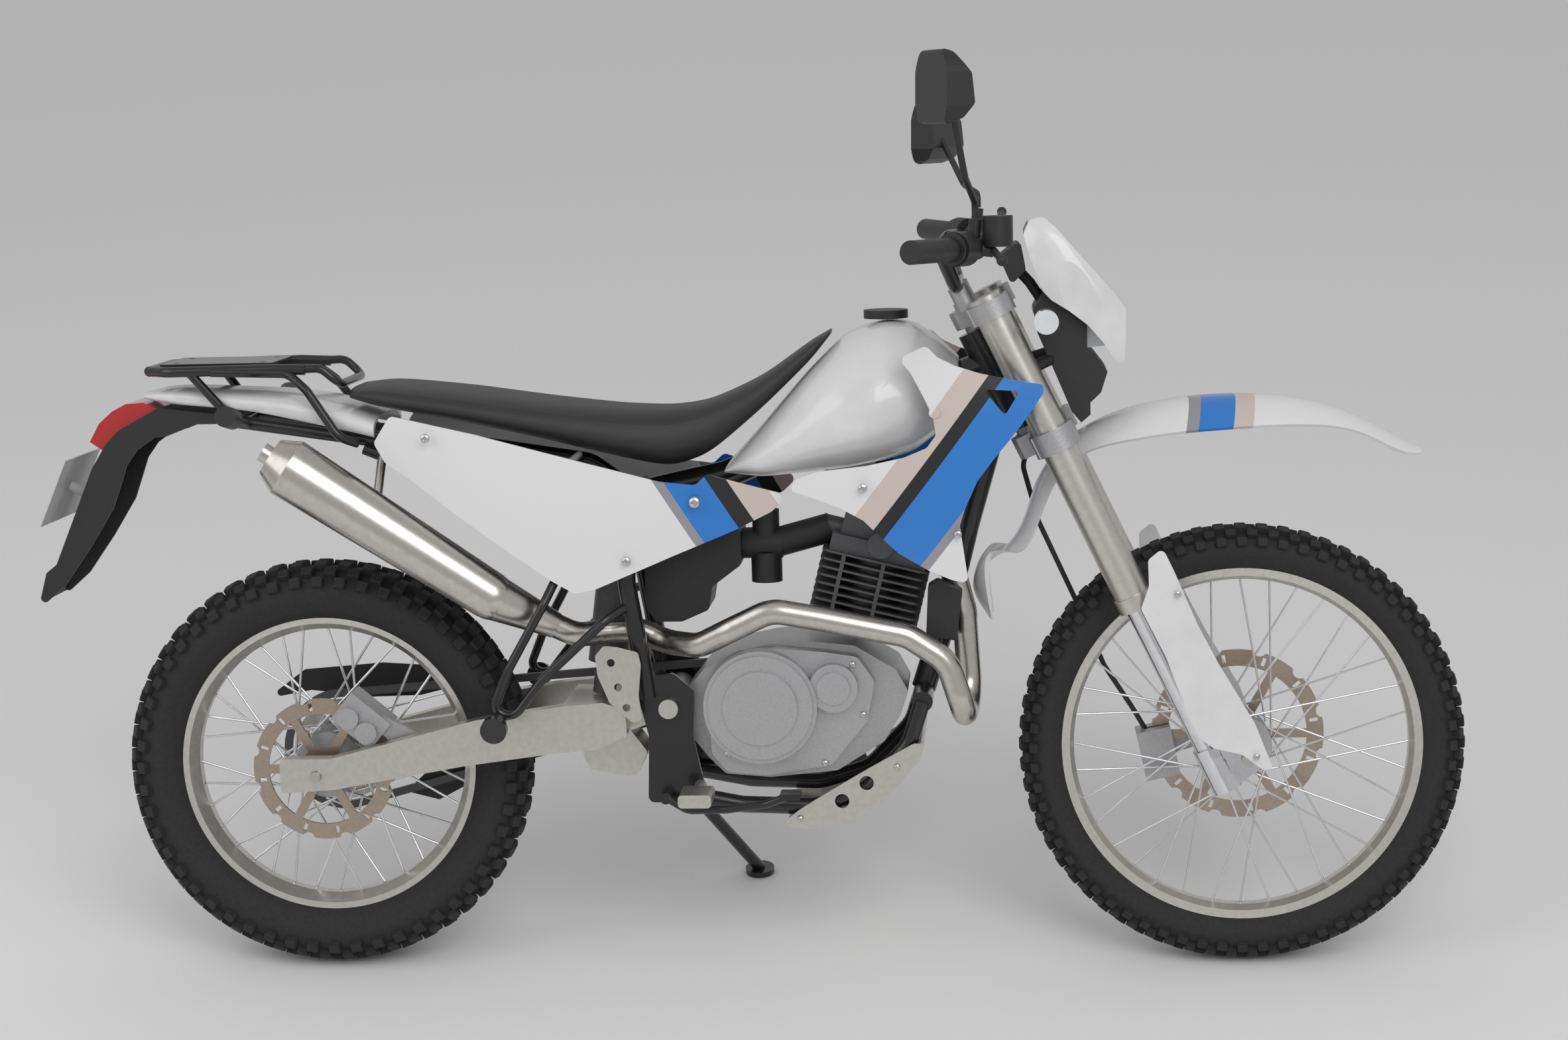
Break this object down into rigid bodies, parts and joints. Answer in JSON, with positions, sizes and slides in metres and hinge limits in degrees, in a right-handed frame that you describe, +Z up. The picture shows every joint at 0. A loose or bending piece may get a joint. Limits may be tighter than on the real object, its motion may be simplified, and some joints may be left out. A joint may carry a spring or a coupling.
{
  "type": "dirt bike",
  "caption": "Road-going dirt bike with a long seat and luggage rack, parked leaning on its side stand.",
  "frame": {"origin": "bottom centre of the bounding box of the parked bike, on the floor", "axes": "+X forward along the wheelbase, +Y to the left, +Z up; the bike leans 12 degrees to its left"},
  "size_m": [2.209, 0.8764, 1.4604],
  "materials": {
    "white_plastic": "glossy",
    "black_plastic": "satin",
    "black_paint": "gloss",
    "seat_vinyl": "satin",
    "tyre_rubber": "matt",
    "grip_rubber": "matt",
    "cast_alloy": "cast",
    "steel": "brushed",
    "chrome": "polished",
    "clear_lens": "clear",
    "red_lens": "glossy",
    "dark_lens": "glossy",
    "plate_white": "satin"
  },
  "bodies": {
    "chassis": {"canister": "black_plastic", "chain": "steel", "chain_guard": "black_plastic", "cylinder": "cast_alloy", "engine_cases": "cast_alloy", "exhaust_pipe": "steel", "foot_levers": "black_paint", "fuel_cap": "black_plastic", "fuel_tank": "white_plastic", "intake": "black_plastic", "luggage_rack": "black_paint", "main_frame": "black_paint", "muffler": "steel", "number_plate": "plate_white", "passenger_footpegs": "black_paint", "rear_axle": "steel", "rear_caliper": "cast_alloy", "rear_indicators": "dark_lens", "rear_mudguard": "black_plastic", "rear_shock": "steel", "rider_footpegs": "cast_alloy", "seat": "seat_vinyl", "side_panels": "white_plastic", "skid_plate": "cast_alloy", "subframe": "black_paint", "swingarm": "cast_alloy", "tail_fairing": "white_plastic", "tail_light": "red_lens", "tank_shrouds": "white_plastic"},
    "steering": {"triple_clamps": "cast_alloy", "fork_tubes": "cast_alloy", "fork_sliders": "chrome", "front_axle": "steel", "fork_guards": "white_plastic", "front_fender": "white_plastic", "handlebar": "black_paint", "hand_grips": "grip_rubber", "hand_controls": "black_plastic", "mirrors": "black_plastic", "headlight_cowl": "white_plastic", "headlight_housing": "black_plastic", "headlight_lens": "clear_lens", "instrument_panel": "black_plastic", "front_indicators": "clear_lens", "front_caliper": "cast_alloy", "front_brake_hose": "grip_rubber"},
    "front_wheel": {"front_brake_disc": "steel", "front_hub": "cast_alloy", "front_rim": "cast_alloy", "front_spokes": "steel", "front_tyre": "tyre_rubber"},
    "rear_wheel": {"rear_tyre": "tyre_rubber", "rear_rim": "cast_alloy", "rear_hub": "cast_alloy", "rear_spokes": "steel", "rear_brake_disc": "steel", "rear_sprocket": "steel"},
    "side_stand": {"side_stand": "black_paint"}
  },
  "joints": [
    {"name": "steering_turn", "type": "hinge", "parent": "chassis", "child": "steering", "pos_m": [0.39919, -0.08085, 0.8928], "axis": [-0.4305, 0.1877, 0.8829], "range_deg": [-40, 40]},
    {"name": "front_wheel_spin", "type": "hinge", "parent": "steering", "child": "front_wheel", "pos_m": [0.76255, -0.19916, 0.33624], "axis": [0, 0.9781, -0.2079], "continuous": true},
    {"name": "rear_wheel_spin", "type": "hinge", "parent": "chassis", "child": "rear_wheel", "pos_m": [-0.66545, -0.20311, 0.31765], "axis": [0, 0.9781, -0.2079], "continuous": true},
    {"name": "side_stand_fold", "type": "hinge", "parent": "chassis", "child": "side_stand", "pos_m": [-0.13045, -0.09254, 0.23179], "axis": [0.2757, 0.8, 0.5329], "range_deg": [0, 112]}
  ]
}
